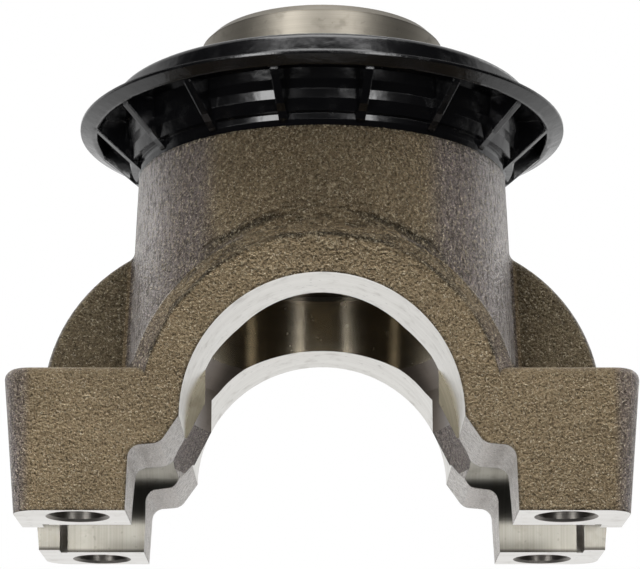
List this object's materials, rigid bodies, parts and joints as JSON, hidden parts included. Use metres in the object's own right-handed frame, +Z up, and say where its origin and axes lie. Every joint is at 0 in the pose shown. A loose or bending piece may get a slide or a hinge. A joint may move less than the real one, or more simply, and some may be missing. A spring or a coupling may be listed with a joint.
{
  "type": "driveshaft end yoke",
  "caption": "Forged half-round end yoke for a heavy driveshaft: forked ears with bearing saddles and bolt holes, splined hub, seal journal and a pressed-on plastic dust slinger.",
  "frame": {"origin": "where the hub axis crosses the saddle axis, in the plane of the four bolt pads", "axes": "+Z up the hub axis, from the pads towards the seal journal; X along the axis of the two half-round saddles"},
  "size_m": [0.1466, 0.1224, 0.1276],
  "materials": {
    "forged_steel": "shot-blasted forging scale with machined faces",
    "black_plastic": "gloss moulding"
  },
  "bodies": {
    "root": {"yoke": "forged_steel", "dust_slinger": "black_plastic"}
  },
  "joints": []
}
